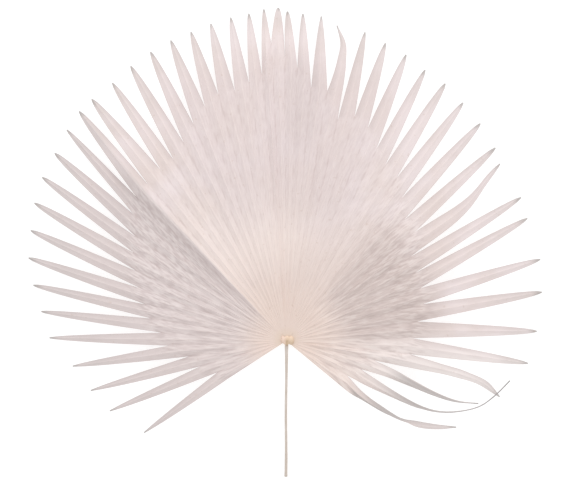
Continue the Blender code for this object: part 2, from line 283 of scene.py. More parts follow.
bpy.ops.mesh.primitive_plane_add(size=FLOOR_SIZE, location=(0, 0, 0))
floor = bpy.context.object
floor.name = "floor"
floor_finish = bpy.data.materials.new("pale floor")
floor_finish.use_nodes = True
floor_shader = floor_finish.node_tree.nodes["Principled BSDF"]
floor_shader.inputs["Base Color"].default_value = (FLOOR_TONE, FLOOR_TONE, FLOOR_TONE, 1)
floor_shader.inputs["Roughness"].default_value = 0.9
floor_shader.inputs["Emission Color"].default_value = (1, 1, 1, 1)
floor_shader.inputs["Emission Strength"].default_value = FLOOR_GLOW
floor.data.materials.append(floor_finish)
floor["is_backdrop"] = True

world = bpy.data.worlds.new("soft white room")
world.use_nodes = True
room = world.node_tree.nodes["Background"]
room.inputs["Color"].default_value = (1, 1, 1, 1)
room.inputs["Strength"].default_value = ROOM_LIGHT
scene.world = world

key_data = bpy.data.lights.new("window light", "AREA")
key_data.shape = "DISK"
key_data.size = KEY_SIZE
key_data.energy = KEY_POWER
key = bpy.data.objects.new("window light", key_data)
scene.collection.objects.link(key)
key.location = KEY_PLACE
key.rotation_euler = (-KEY_PLACE).to_track_quat("-Z", "Y").to_euler()
key.visible_camera = False
print("the key light is", round(KEY_PLACE.length, 2), "m away")

# %% [markdown]
# ## One strip, modelled once
# A segment of a fan palm is a long strip, folded along a firm midrib. All 48 are alike, so one flat
# strip is modelled as a grid and copied, each copy with its own mesh. Across the strip the columns
# stand closer beside the midrib, where the form changes fastest. Along it the first rows belong to the
# part that is joined to the neighbours, and the rest to the free tip.

# %% The flat strip
COLUMNS = 12
JOINED_ROWS = 24
FREE_ROWS = 26
ROWS = JOINED_ROWS + FREE_ROWS
COLUMN_CROWDING = 1.4

leave_nothing_selected()
bpy.ops.mesh.primitive_grid_add(x_subdivisions=COLUMNS, y_subdivisions=ROWS, size=2)
flat_strip = bpy.context.object
flat_strip.name = "flat_strip"
flat_strip.data.uv_layers.remove(flat_strip.data.uv_layers[0])

places = np.zeros(len(flat_strip.data.vertices) * 3)
flat_strip.data.vertices.foreach_get("co", places)
places = places.reshape(-1, 3)
# 1 at the left edge of the strip, 0 at its midrib and -1 at its right edge
strip_across = -np.sign(places[:, 0]) * np.abs(places[:, 0]) ** COLUMN_CROWDING
strip_row = np.round((places[:, 1] + 1) / 2 * ROWS).astype(int)
strip_corners = np.zeros(len(flat_strip.data.loops), int)
flat_strip.data.loops.foreach_get("vertex_index", strip_corners)
print("the strip has", len(flat_strip.data.polygons), "faces")

# %% [markdown]
# ## Bending a strip into the fan
# The joined part of a strip lies between two folds that it shares with its neighbours. Each fold is a
# valley and the midrib is the ridge between two of them, so the strip is a shallow roof with a softly
# rounded top. On a real leaf the midrib is also a thin firm cord that stands a little proud of the
# roof, and the sheet is never quite even, so both are part of the form. This could be posed with a
# lattice for each strip, but the neighbours must share their folds exactly, or the sheet would have
# slits. Numbers do that best: both strips place a fold with the same law.

# %% The roof over a segment
PLEAT_RISES = (
    # place, height of the roof there as a share of its half width
    *((0, 0.30), (8, 0.30), (13, 0.28), (15, 0.19)),
    *((24, 0.17), (34, 0.22), (40, 0.28), (48, 0.28)),
)
TOP_ROUNDING = 0.12
SOFTNESS = 0.45
CORD_HEIGHT = 0.35
CORD_HALF_WIDTH = 0.5
CORD_SHARE = 0.25


def pleat_rise(place):
    return float(np.interp(place, *zip(*PLEAT_RISES)))


def roof(across):
    """The height of the roof between two folds: 1 on its rounded top and 0 at the folds."""
    rounded = np.sqrt(across**2 + TOP_ROUNDING**2) - TOP_ROUNDING
    crisp = 1 - rounded / (math.sqrt(1 + TOP_ROUNDING**2) - TOP_ROUNDING)
    soft = (1 + np.cos(np.pi * across)) / 2
    return crisp * (1 - SOFTNESS) + soft * SOFTNESS


def midrib_cord(across, half_width):
    """How far the cord of the midrib stands proud of the roof."""
    height = np.minimum(CORD_HEIGHT, CORD_SHARE * half_width)
    cord = np.exp(-((across * half_width / CORD_HALF_WIDTH) ** 2))
    return height * cord * (1 - across**2) ** 2


print("height of the roof halfway between midrib and fold:", round(float(roof(0.5)), 2))

# %% Unevenness of the dry sheet
RIPPLE_HEIGHT = 0.22
RIPPLE_FULL_REACH = 60.0
RIPPLE_WAVES = (
    # radians for each mm of reach, radians for each fold, radians at the start, size
    (0.085, 1.9, 0.0, 1.0),
    (0.21, -2.7, 1.0, 0.5),
)
ROOF_WAVES = ((0.047, -2.4, 0.0, 0.35), (0.16, 4.1, 0.0, 0.40))


def waves(table, place, reach):
    """A few waves along and round the fan, added up."""
    total = 0.0
    for along, around, start, size in table:
        total = total + size * np.sin(along * reach + around * place + start)
    return total


def ripples(place, reach):
    """Small unevenness of the dry sheet, the same for both strips at a fold."""
    growing = ease((reach - FLAT_REACH) / RIPPLE_FULL_REACH)
    return RIPPLE_HEIGHT * waves(RIPPLE_WAVES, place, reach) * growing


def uneven_roof(segment, reach):
    """How much of its height the roof has, because each segment was pressed and dried unevenly."""
    return 1 + waves(ROOF_WAVES, segment, reach)


print("share of its height that the roof has at the rim of the hub:", round(uneven_roof(1, FLAT_REACH), 2))

# %% The part that is joined to its neighbours
INNER_REACH = 5.0
COARSE_ROWS = 8


def fold_reach(rows, notch):
    """How far out the rows cross a fold. The first of them follow the rim of the hub."""
    coarse = rows * COARSE_ROWS / JOINED_ROWS
    beyond = FLAT_REACH + (notch - FLAT_REACH) * (coarse - 1) / (COARSE_ROWS - 1)
    return np.where(coarse < 1, INNER_REACH + (FLAT_REACH - INNER_REACH) * coarse, beyond)


def fold_points(fold, rows):
    """The points of a fold as x, y and height."""
    reach = fold_reach(rows, NOTCH_REACHES[fold])
    beside = [heights[segment] for segment in (fold, fold + 1) if segment in heights]
    plan = on_bearing(reach, FOLD_BEARINGS[fold])
    height = sheet_height(np.full_like(reach, fold), reach, sum(beside) / len(beside))
    return np.column_stack((plan, height))


def joined_part(segment, rows, across):
    """Where the joined part of a strip lies."""
    middle_place = segment - 0.5
    left, right = fold_points(segment - 1, rows), fold_points(segment, rows)
    middle = (left + right) / 2
    half = (left - right) / 2
    reach = np.hypot(middle[:, 0], middle[:, 1])
    half_width = np.hypot(half[:, 0], half[:, 1])
    ridge = sheet_height(np.full_like(reach, middle_place), reach, heights[segment])
    lift = half_width * pleat_rise(middle_place) * ease((reach - FLAT_REACH) / FLAT_REACH)
    lift *= uneven_roof(segment, reach)
    points = middle + half * across[:, None]
    points[:, 2] += (ridge - middle[:, 2]) * (1 - across**2)
    points[:, 2] += lift * roof(across) + midrib_cord(across, half_width)
    return points


end = joined_part(1, np.full(1, JOINED_ROWS), np.zeros(1))[0]
print("the joined part of the first strip ends at", [round(float(x), 1) for x in end])

# %% [markdown]
# ## The free tips
# Beyond the notches a strip narrows to a blunt point, and most of the tips run straight on. Some lean a
# little to one side. A few at the lower right dried before they were pressed, so they are thin, turned
# on edge and curled, one at the upper right bends up and one near the top ends in a hook. The midribs
# of these follow a route of points, each with a height and a turn. Curves with bevels could make those
# few, but then they would be other surfaces than their own joined parts, so all tips are made the same
# way, as the rest of the strip.

# %% Leaning, bent and curled tips
TIP_LEANS = (
    # segment, degrees by which its tip leans away from the middle of the segment
    *((1, 4.5), (2, 1.5), (3, 1.8), (4, 1.3), (5, 0.2), (8, -0.5), (11, -1.4), (13, -2.2)),
    *((14, -1.8), (15, 0.0), (25, -0.2), (26, 0.8), (28, 1.3), (30, 0.7), (33, 0.1), (37, -0.4)),
    *((39, 0.3), (40, 2.1), (41, -0.7), (42, -1.2), (43, -2.9), (44, -3.1)),
)
BENT_TIPS = {
    # segment: points of the midrib beyond the notches, as x, y, height and degrees of turn
    29: ((59.5, 300, 13, 0), (61, 318, 9.5, 0), (54.3, 338.5, 7, 0)),
    38: ((198, 151.5, 15, 0), (217, 176, 11.5, 0), (229, 190, 9, 0)),
    45: ((150, -26, 17, 0), (187, -35.5, 12, 0), (212, -45.5, 7, 10), (229, -60, 4, 20)),
    46: (
        (111, -34, 19, 24),
        (127, -41.8, 17, 34),
        (142, -49, 15, 42),
        (157, -56, 12, 44),
        (182, -64.7, 9, 44),
        (206, -67.3, 7, 40),
    ),
    47: (
        (94, -46, 19, 22),
        (110, -54.8, 18, 40),
        (127, -63.6, 17, 52),
        (142, -70.4, 16, 60),
        (163, -75.5, 14, 82),
        (186, -75.3, 13, 68),
        (209, -69, 13, 45),
        (224, -57.5, 15, 25),
        (239, -42, 18, 15),
    ),
    48: (
        (78, -55.8, 19, 48),
        (90, -64.8, 18, 60),
        (101, -72, 16, 63),
        (112, -78.4, 14, 72),
        (124, -84, 11, 84),
        (140, -89.2, 8, 42),
        (160, -92.1, 6, 20),
        (182.5, -92.6, 4.5, 15),
    ),
}
print(len(BENT_TIPS), "tips follow a route of their own")

# %% The route of a midrib
ROUTE_SHARES = (0.0, 0.33, 0.67, 1.0)


def midrib_route(segment, start):
    """The midrib of a free tip from its start to its point: x, y, height and turn."""
    place = segment - 0.5
    if segment in BENT_TIPS:
        points = [(*start, 0.0)] + list(BENT_TIPS[segment])
    else:
        middle = (FOLD_BEARINGS[segment - 1] + FOLD_BEARINGS[segment]) / 2
        lean = float(np.interp(segment, *zip(*TIP_LEANS)))
        end = on_bearing(TIP_REACHES[segment - 1], middle + lean)
        points = []
        for share in ROUTE_SHARES:
            x, y = start[:2] + (end - start[:2]) * share
            height = float(sheet_height(np.array([place]), np.hypot(x, y), heights[segment])[0])
            points.append((x, y, height, 0.0))
    steps = [math.dist(a[:2], b[:2]) for a, b in zip(points, points[1:])]
    travelled = np.concatenate(([0.0], np.cumsum(steps)))
    return smooth_curve(travelled / travelled[-1], points)


print("a straight tip goes through", len(ROUTE_SHARES), "points")

# %% How fast the tips narrow
TIP_TAPERS = (
    # segment, taper of its tip
    *((1, 0.56), (4, 0.56), (6, 0.48), (7, 0.42), (12, 0.42), (13, 0.48), (18, 0.50), (21, 0.56)),
    *((24, 0.50), (25, 0.42), (26, 0.42), (28, 0.62), (29, 0.75), (30, 0.53), (34, 0.45)),
    *((42, 0.46), (44, 0.50), (45, 0.70), (46, 0.90), (47, 1.00), (48, 0.62)),
)


def taper(segment):
    """How fast a tip narrows: 1 is a straight point, and less is a strap with a short point."""
    return float(np.interp(segment, *zip(*TIP_TAPERS)))


print("halfway out, the first tip has", round(0.5 ** taper(1), 2), "of its width")

# %% The free part of a strip
HOOKED_SEGMENT = 29
TIP_HALF_WIDTH = 0.6
TIP_PLEAT_RISE = 0.2
SETTLED_SHARE = 0.4
SHORT_STEP = 0.01


def heading(route, share):
    """The direction of a midrib in the plan, as vectors of length 1."""
    ahead = route(np.minimum(share + SHORT_STEP, 1.0)) - route(share - SHORT_STEP)
    return ahead[:, :2] / np.linalg.norm(ahead[:, :2], axis=1)[:, None]


def free_form(segment, share, across):
    """The form of a free tip by itself. share goes from 0 at the notches to 1 at the point."""
    last = np.array([JOINED_ROWS])
    left, right = fold_points(segment - 1, last)[0], fold_points(segment, last)[0]
    start = (left + right) / 2
    route = midrib_route(segment, start)
    x, y, z, turn = route(share).T
    ahead = heading(route, share)
    nothing = np.zeros(len(share))
    along = np.column_stack((ahead, nothing))
    sideways = np.column_stack((-ahead[:, 1], ahead[:, 0], nothing))
    # The hook bends so sharply that its breadth is measured square to where it starts.
    measured = heading(route, np.zeros(1)) if segment == HOOKED_SEGMENT else ahead
    square = np.column_stack((-measured[:, 1], measured[:, 0]))
    half_width = np.abs(square @ (left - start)[:2]) * (1 - share) ** taper(segment)
    half_width = np.maximum(half_width, TIP_HALF_WIDTH)
    offset = along @ (left - start) * (1 - share) ** 2
    rise = pleat_rise(segment - 0.5) * (1 - share) + TIP_PLEAT_RISE * share
    cosine, sine = np.cos(np.radians(turn))[:, None], np.sin(np.radians(turn))[:, None]
    up = np.array([0.0, 0.0, 1.0])
    crosswise = cosine * sideways + sine * up
    upright = cosine * up - sine * sideways
    lift = half_width * rise * roof(across) + midrib_cord(across, half_width)
    points = np.column_stack((x, y, z))
    points += crosswise * (half_width * across)[:, None] + along * (offset * across)[:, None]
    return points + upright * lift[:, None]


def free_part(segment, share, across):
    """The free tip as it grows out of the joined part, whose last row it starts from."""
    joined_end = joined_part(segment, np.full(len(across), JOINED_ROWS), across)
    step = joined_end - free_form(segment, np.zeros(len(across)), across)
    settling = 1 - ease(share / SETTLED_SHARE)
    return free_form(segment, share, across) + step * settling[:, None]


point = free_part(1, np.ones(1), np.zeros(1))[0]
print("the first tip ends at", [round(float(x), 1) for x in point])

# %% Forty-eight strips in their places
UV_REACH = 400.0


def place_strip(segment):
    """A copy of the flat strip, bent into its place, with the two maps that its finish follows."""
    strip = flat_strip.copy()
    strip.data = flat_strip.data.copy()
    bpy.context.collection.objects.link(strip)
    joined = strip_row <= JOINED_ROWS
    points = np.zeros((len(strip_row), 3))
    points[joined] = joined_part(segment, strip_row[joined], strip_across[joined])
    share = np.maximum(strip_row - JOINED_ROWS, 0) / FREE_ROWS
    points[~joined] = free_part(segment, share[~joined], strip_across[~joined])
    reach = np.hypot(points[:, 0], points[:, 1])
    place = segment - 0.5 - strip_across / 2
    points[:, 2] += ripples(place, reach) * (1 - share) ** 2
    strip.data.vertices.foreach_set("co", ((points + np.array(HUB)) * MM).ravel())
    along = np.column_stack((place / SEGMENTS, reach / UV_REACH))
    own = np.column_stack(((strip_across + 1) / 2, share))
    for name, values in (("along", along), ("strip", own)):
        layer = strip.data.uv_layers.new(name=name)
        layer.uv.foreach_set("vector", values[strip_corners].ravel())
    strip.data.update()
    return strip


strips = [place_strip(segment) for segment in range(1, SEGMENTS + 1)]
bpy.data.objects.remove(flat_strip)
print("strips in place:", len(strips))

# %% [markdown]
# ## From strips to one sheet
# The strips are joined into one object and their shared folds are merged, which closes the sheet from
# the hub to the notches. A leaf is thin but not a film, so Solidify gives it its thickness on the
# underside, and the ribbed upper side stays where it is. The folds are crisp on the real leaf, so the
# shading breaks at them and is smooth between.

# %% Join the strips and give the sheet its thickness
MERGE_DISTANCE = 0.002
SHEET_THICKNESS = 0.9
CRISP_FOLD = math.radians(26)

pick(*strips)
bpy.ops.object.join()
blade = bpy.context.object
blade.name = "leaf_blade"
bpy.ops.object.mode_set(mode="EDIT")
bpy.ops.mesh.select_all(action="SELECT")
bpy.ops.mesh.remove_doubles(threshold=MERGE_DISTANCE * MM)
bpy.ops.mesh.normals_make_consistent(inside=False)
bpy.ops.object.mode_set(mode="OBJECT")
if sum(face.normal.z * face.area for face in blade.data.polygons) < 0:
    blade.data.flip_normals()
shell = blade.modifiers.new("sheet thickness", "SOLIDIFY")
shell.thickness = SHEET_THICKNESS * MM
shell.offset = -1.0
bpy.ops.object.modifier_apply(modifier=shell.name)
bpy.ops.object.shade_smooth_by_angle(angle=CRISP_FOLD)
print("the sheet has", count_triangles(blade), "triangles")

# %% [markdown]
# ## The stalk
# The stalk is slim and hard, with a shallow groove along its upper side where it dried in. It could be
# a curve with a bevel, but the groove and the slow changes of thickness are easier to give by hand: a
# filled circle is shaped once and then extruded step by step along the stalk, and each step is made a
# little wider or narrower.

# %% Shape the end of the stalk
STALK_ROUTE = (
    # x, y and height of the middle of the stalk
    (0.3, 1, 3.0),
    (0.2, -30, 2.4),
    (-0.4, -80, 2.0),
    (-0.1, -120, 2.1),
    (-0.4, -145.5, 2.2),
)
STALK_RADIUS = 1.45
STALK_SWELLINGS = (1.35, 1.0, 0.92, 0.97, 1.12)
STALK_SIDES = 24
GROOVE_DEPTH = 0.42
GROOVE_HALF_WIDTH = 0.75

stalk_line = smooth_curve([-point[1] for point in STALK_ROUTE], STALK_ROUTE)
stalk_width = smooth_curve([-point[1] for point in STALK_ROUTE], STALK_SWELLINGS)
start = (Vector(STALK_ROUTE[0]) + HUB) * MM
leave_nothing_selected()
bpy.ops.mesh.primitive_circle_add(
    vertices=STALK_SIDES,
    radius=STALK_RADIUS * STALK_SWELLINGS[0] * MM,
    fill_type="NGON",
    location=start,
    rotation=(math.pi / 2, 0, 0),
)
stalk = bpy.context.object
stalk.name = "leaf_stalk"
bpy.ops.object.transform_apply(location=True, rotation=True, scale=True)
for vertex in stalk.data.vertices:
    sideways = (vertex.co.x - start.x) / MM
    if vertex.co.z > start.z:
        dip = GROOVE_DEPTH * math.exp(-((sideways / GROOVE_HALF_WIDTH) ** 2))
        vertex.co.z -= dip * MM
print("the stalk starts at", tuple(round(x * 1000, 1) for x in start), "mm")

# %% Extrude the stalk
STALK_STEPS = 48
STALK_WAVES = ((0.025, 0.31, 0.0), (0.02, 0.83, 1.0))
STALK_END = -STALK_ROUTE[-1][1]
STALK_START = -STALK_ROUTE[0][1]


def stalk_at(travel):
    """The middle of the stalk, in metres, and its width as a share of the usual one."""
    x, y, z = stalk_line(travel)[0]
    uneven = 1 + sum(size * math.sin(turn * travel + begin) for size, turn, begin in STALK_WAVES)
    return (Vector((x, y, z)) + HUB) * MM, float(stalk_width(travel)[0]) * uneven


bpy.ops.object.mode_set(mode="EDIT")
bpy.ops.mesh.select_all(action="SELECT")
where, width = stalk_at(STALK_START)
for step in range(1, STALK_STEPS + 1):
    travel = STALK_START + (STALK_END - STALK_START) * step / STALK_STEPS
    next_where, next_width = stalk_at(travel)
    bpy.ops.mesh.extrude_region_move(TRANSFORM_OT_translate={"value": next_where - where})
    change = next_width / width
    bpy.ops.transform.resize(value=(change, 1, change), center_override=next_where)
    where, width = next_where, next_width
bpy.ops.object.mode_set(mode="OBJECT")
print("the stalk ends at", tuple(round(x * 1000, 1) for x in where), "mm")

# %% [markdown]
# ## The cut end
# The stalk was cut with a blade, a little askew, and its dry fibres pulled back from the cut. The end
# face is inset and pushed in for the sunken pith, the cut is tilted, and a few short fibres stick out of
# it. The fibres are thin cones with five sides, one modelled and the rest copied.

# %% Cut the end askew and sink the pith
CUT_TILT = 0.45
PITH_RIM = 0.4
PITH_DEPTH = 0.35
CORE_RIM = 0.3
CORE_HEIGHT = 0.15
CUT_LENGTH = 0.8

pick(stalk)
bpy.ops.object.mode_set(mode="EDIT")
bpy.ops.mesh.inset(thickness=PITH_RIM * MM, depth=0)
bpy.ops.transform.translate(value=(0, PITH_DEPTH * MM, 0))
bpy.ops.mesh.inset(thickness=CORE_RIM * MM, depth=0)
bpy.ops.transform.translate(value=(0, -CORE_HEIGHT * MM, 0))
bpy.ops.object.mode_set(mode="OBJECT")
for vertex in stalk.data.vertices:
    if vertex.co.y < where.y + CUT_LENGTH * MM:
        vertex.co.y += (vertex.co.z - where.z) * CUT_TILT
print("the cut slants by", round(math.degrees(math.atan(CUT_TILT))), "degrees")

# %% Fibres at the cut
FIBRES = 9
FIBRE_SEED = 5
FIBRE_LENGTH = 1.6
FIBRE_FOOT = 0.13
FIBRE_POINT = 0.03
FIBRE_RING = (0.35, 1.05)
FIBRE_ROOT = 0.15
FIBRE_TILT = 0.3

fibre_draw = random.Random(FIBRE_SEED)
leave_nothing_selected()
bpy.ops.mesh.primitive_cone_add(
    vertices=5, radius1=FIBRE_FOOT * MM, radius2=FIBRE_POINT * MM, depth=FIBRE_LENGTH * MM
)
fibre = bpy.context.object
bpy.ops.object.mode_set(mode="EDIT")
bpy.ops.mesh.select_all(action="SELECT")
bpy.ops.mesh.subdivide(number_cuts=1)
bpy.ops.object.mode_set(mode="OBJECT")
fibres = []
for number in range(FIBRES):
    copy = fibre.copy()
    copy.data = fibre.data.copy()
    bpy.context.collection.objects.link(copy)
    angle = 2 * math.pi * (number + fibre_draw.random()) / FIBRES
    away = fibre_draw.uniform(*FIBRE_RING)
    foot = Vector((away * math.cos(angle), FIBRE_ROOT, away * math.sin(angle)))
    copy.location = where + foot * MM
    copy.rotation_euler = (
        math.pi / 2 + fibre_draw.uniform(-FIBRE_TILT, FIBRE_TILT),
        fibre_draw.uniform(-FIBRE_TILT, FIBRE_TILT),
        fibre_draw.uniform(0, 6),
    )
    copy.scale = (1, 1, fibre_draw.uniform(0.5, 1.0))
    fibres.append(copy)
bpy.data.objects.remove(fibre)
print("fibres at the cut:", len(fibres))

# %% [markdown]
# ## The knob at the top of the stalk
# On the upper side the stalk ends in two small lobes, side by side with a low bridge between them,
# that clasp the inner edge of the sheet. Below the sheet it runs on as a short keel, and a round neck
# in the gap at the hub joins the two. Lobes, bridge and keel are spheres that are stretched and cut
# level. They grew as one body, so they are remeshed into one skin, smoothed, and wrinkled a little as
# dry wood is.

# %% Lobes, keel and neck
SEAT_TOP = 5.15
LOBES = (
    # centre x, centre y, half width, half length, height
    (-3.5, 1.4, 2.5, 4.2, 2.6),
    (4.9, 0.7, 3.5, 4.9, 3.1),
    (0.7, 3.2, 2.6, 2.7, 1.5),
)
KEEL = (0.0, 6.0, 4.0, 10.5, 3.8)
NECK_RADIUS = 4.2
NECK_LOW = 1.2
NECK_ABOVE_SEAT = 1.3
KNOB_SIDES = 40


def cut_sphere(centre, radii, level):
    """A stretched sphere without the part below a level."""
    leave_nothing_selected()
    bpy.ops.mesh.primitive_uv_sphere_add(
        segments=KNOB_SIDES,
        ring_count=KNOB_SIDES // 2,
        radius=MM,
        location=(Vector(centre) + HUB) * MM,
        scale=radii,
    )
    made = bpy.context.object
    bpy.ops.object.transform_apply(location=True, rotation=True, scale=True)
    bpy.ops.object.mode_set(mode="EDIT")
    bpy.ops.mesh.select_all(action="SELECT")
    bpy.ops.mesh.bisect(
        plane_co=(0, 0, level * MM), plane_no=(0, 0, 1), use_fill=True, clear_inner=True
    )
    bpy.ops.object.mode_set(mode="OBJECT")
    return made


knob_pieces = [cut_sphere((x, y, SEAT_TOP), (w, l, h), SEAT_TOP) for x, y, w, l, h in LOBES]
x, y, half_width, half_length, height = KEEL
knob_pieces.append(cut_sphere((x, y, 0.0), (half_width, half_length, height), 0.0))
leave_nothing_selected()
neck_high = SEAT_TOP + NECK_ABOVE_SEAT
bpy.ops.mesh.primitive_cylinder_add(
    vertices=KNOB_SIDES,
    radius=NECK_RADIUS * MM,
    depth=(neck_high - NECK_LOW) * MM,
    location=(HUB + Vector((0, 0, (NECK_LOW + neck_high) / 2))) * MM,
)
bpy.ops.object.transform_apply(location=True, rotation=True, scale=True)
knob_pieces.append(bpy.context.object)
print("pieces of the knob:", len(knob_pieces))

# %% Grow the knob together
KNOB_VOXEL = 0.33
WRINKLE_DEPTH = 0.22
WRINKLE_SIZE = 1.4

pick(*knob_pieces)
bpy.ops.object.join()
knob = bpy.context.object
skin = knob.modifiers.new("one skin", "REMESH")
skin.mode = "VOXEL"
skin.voxel_size = KNOB_VOXEL * MM
soft = knob.modifiers.new("soft edges", "SMOOTH")
soft.factor = 0.5
soft.iterations = 4
wrinkles = bpy.data.textures.new("wrinkles of dry wood", "CLOUDS")
wrinkles.noise_scale = WRINKLE_SIZE * MM
wrinkles.noise_depth = 2
wrinkled = knob.modifiers.new("wrinkles", "DISPLACE")
wrinkled.texture = wrinkles
wrinkled.texture_coords = "LOCAL"
wrinkled.strength = WRINKLE_DEPTH * MM
wrinkled.mid_level = 0.5
for name in [modifier.name for modifier in knob.modifiers]:
    bpy.ops.object.modifier_apply(modifier=name)
for vertex in knob.data.vertices:
    vertex.co.z = max(vertex.co.z, 0.0)
print("the knob has", count_triangles(knob), "triangles")

# %% One stalk
SOFT_ANGLE = math.radians(40)

pick(*fibres)
bpy.ops.object.transform_apply(location=True, rotation=True, scale=True)
pick(*fibres, knob, stalk)
bpy.ops.object.join()
bpy.ops.object.mode_set(mode="EDIT")
bpy.ops.mesh.select_all(action="SELECT")
bpy.ops.mesh.normals_make_consistent(inside=False)
bpy.ops.object.mode_set(mode="OBJECT")
bpy.ops.object.shade_smooth_by_angle(angle=SOFT_ANGLE)
print("the stalk has", count_triangles(stalk), "triangles")

# %% [markdown]
# ## Tools for the finishes
# A finish is a small network of nodes. These helpers add a node, set or link its sockets and give back
# its output, so that a network reads like a recipe.

# %% Node helpers


def add_node(tree, kind, settings, sockets):
    """A node with its settings, and with each socket set to a value or linked to an output."""
    made = tree.nodes.new(kind)
    for name, value in settings.items():
        setattr(made, name, value)
    for name, value in sockets.items():
        if isinstance(value, bpy.types.NodeSocket):
            tree.links.new(value, made.inputs[name])
        else:
            made.inputs[name].default_value = value
    return made


def calculate(tree, operation, *values):
    settings = {"operation": operation}
    return add_node(tree, "ShaderNodeMath", settings, dict(enumerate(values))).outputs[0]


def product(tree, first, *others):
    """All the values multiplied, such as several masks of which a spot needs every one."""
    for other in others:
        first = calculate(tree, "MULTIPLY", first, other)
    return first


def rising(tree, value, low, high):
    """0 below low and 1 above high, with a soft change. It falls where low is above high."""
    sockets = {"Value": value, "From Min": low, "From Max": high}
    settings = {"interpolation_type": "SMOOTHSTEP"}
    return add_node(tree, "ShaderNodeMapRange", settings, sockets).outputs["Result"]


# %% Colours, noise and relief


def blend(tree, share, first, second):
    sockets = {0: share, 6: first, 7: second}
    return add_node(tree, "ShaderNodeMix", {"data_type": "RGBA"}, sockets).outputs[2]


def colour(red, green, blue):
    """A colour as it is read from a screen, 0 to 255, made linear for the shader."""
    linear = [((c / 255 + 0.055) / 1.055) ** 2.4 for c in (red, green, blue)]
    return (*linear, 1.0)


def tint(tree, colours, mask, strength, tone):
    """The colours so far, brought nearer to one tone where the mask is."""
    return blend(tree, product(tree, mask, strength), colours, colour(*tone))


def noise(tree, where, scale, detail, roughness):
    sockets = {"Vector": where, "Scale": scale, "Detail": detail, "Roughness": roughness}
    return add_node(tree, "ShaderNodeTexNoise", {}, sockets).outputs[0]


def bump(tree, height, strength, depth):
    """Normals for small relief. depth is in millimetres."""
    sockets = {"Strength": strength, "Distance": depth * MM, "Height": height}
    return add_node(tree, "ShaderNodeBump", {}, sockets).outputs["Normal"]


def new_finish(name):
    finish = bpy.data.materials.new(name)
    finish.use_nodes = True
    return finish, finish.node_tree, finish.node_tree.nodes["Principled BSDF"]


print("middle grey on a screen is", round(colour(128, 128, 128)[0], 3), "for the shader")

# %% [markdown]
# ## Fibre, for leaf and stalk
# Leaf and stalk are both made of long fibres, so both need fine streaks that run along the piece. One
# node group makes them: it takes a map that runs across and along the piece, stretches two noises far
# along it, and gives a soft streak, a fine streak and a height for the bump. Each material places the
# group with its own numbers.

# %% Node groups
NUMBER, ARROW = "NodeSocketFloat", "NodeSocketVector"


def make_group(name, inputs, outputs):
    tree = bpy.data.node_groups.new(name, "ShaderNodeTree")
    for label, kind in inputs:
        tree.interface.new_socket(name=label, in_out="INPUT", socket_type=kind)
    for label, kind in outputs:
        tree.interface.new_socket(name=label, in_out="OUTPUT", socket_type=kind)
    return tree, tree.nodes.new("NodeGroupInput"), tree.nodes.new("NodeGroupOutput")


def place_group(tree, group, sockets):
    return add_node(tree, "ShaderNodeGroup", {"node_tree": group}, sockets)


# %% The fibre group
fibre_group, given, result = make_group(
    "dry fibre",
    [("Map", ARROW), ("Across", NUMBER), ("Along", NUMBER), ("Fineness", NUMBER)],
    [("Soft streak", NUMBER), ("Fine streak", NUMBER), ("Height", NUMBER)],
)
across, along = given.outputs["Across"], given.outputs["Along"]
stretch = add_node(
    fibre_group, "ShaderNodeCombineXYZ", {}, {"X": across, "Y": along, "Z": 1.0}
).outputs[0]
soft_map = add_node(
    fibre_group,
    "ShaderNodeVectorMath",
    {"operation": "MULTIPLY"},
    {0: given.outputs["Map"], 1: stretch},
).outputs[0]
fine_map = add_node(
    fibre_group,
    "ShaderNodeVectorMath",
    {"operation": "SCALE"},
    {0: soft_map, "Scale": given.outputs["Fineness"]},
).outputs[0]
soft_noise = noise(fibre_group, soft_map, 1.0, 2.0, 0.55)
fine_noise = noise(fibre_group, fine_map, 1.0, 1.0, 0.5)
fibre_group.links.new(rising(fibre_group, soft_noise, 0.3, 0.7), result.inputs["Soft streak"])
fibre_group.links.new(rising(fibre_group, fine_noise, 0.3, 0.7), result.inputs["Fine streak"])
both = calculate(fibre_group, "MULTIPLY_ADD", soft_noise, 0.5, fine_noise)
fibre_group.links.new(both, result.inputs["Height"])
print("groups so far:", [group.name for group in bpy.data.node_groups])

# %% [markdown]
# ## Age, for leaf and stalk
# Drying bleached both pieces unevenly. A second group reads the place on the piece and gives soft
# clouds of tone and a sparse scatter of small brown flecks.

# %% The age group
age_group, given, result = make_group(
    "drying and age",
    [("Place", ARROW), ("Cloud size", NUMBER), ("Fleck size", NUMBER)],
    [("Cloud", NUMBER), ("Fleck", NUMBER)],
)
cloud_scale = calculate(age_group, "DIVIDE", 1.0, given.outputs["Cloud size"])
fleck_scale = calculate(age_group, "DIVIDE", 1.0, given.outputs["Fleck size"])
cloud_noise = noise(age_group, given.outputs["Place"], cloud_scale, 3.0, 0.55)
fleck_noise = noise(age_group, given.outputs["Place"], fleck_scale, 1.0, 0.4)
age_group.links.new(rising(age_group, cloud_noise, 0.32, 0.68), result.inputs["Cloud"])
age_group.links.new(rising(age_group, fleck_noise, 0.7, 0.78), result.inputs["Fleck"])
print("groups so far:", [group.name for group in bpy.data.node_groups])
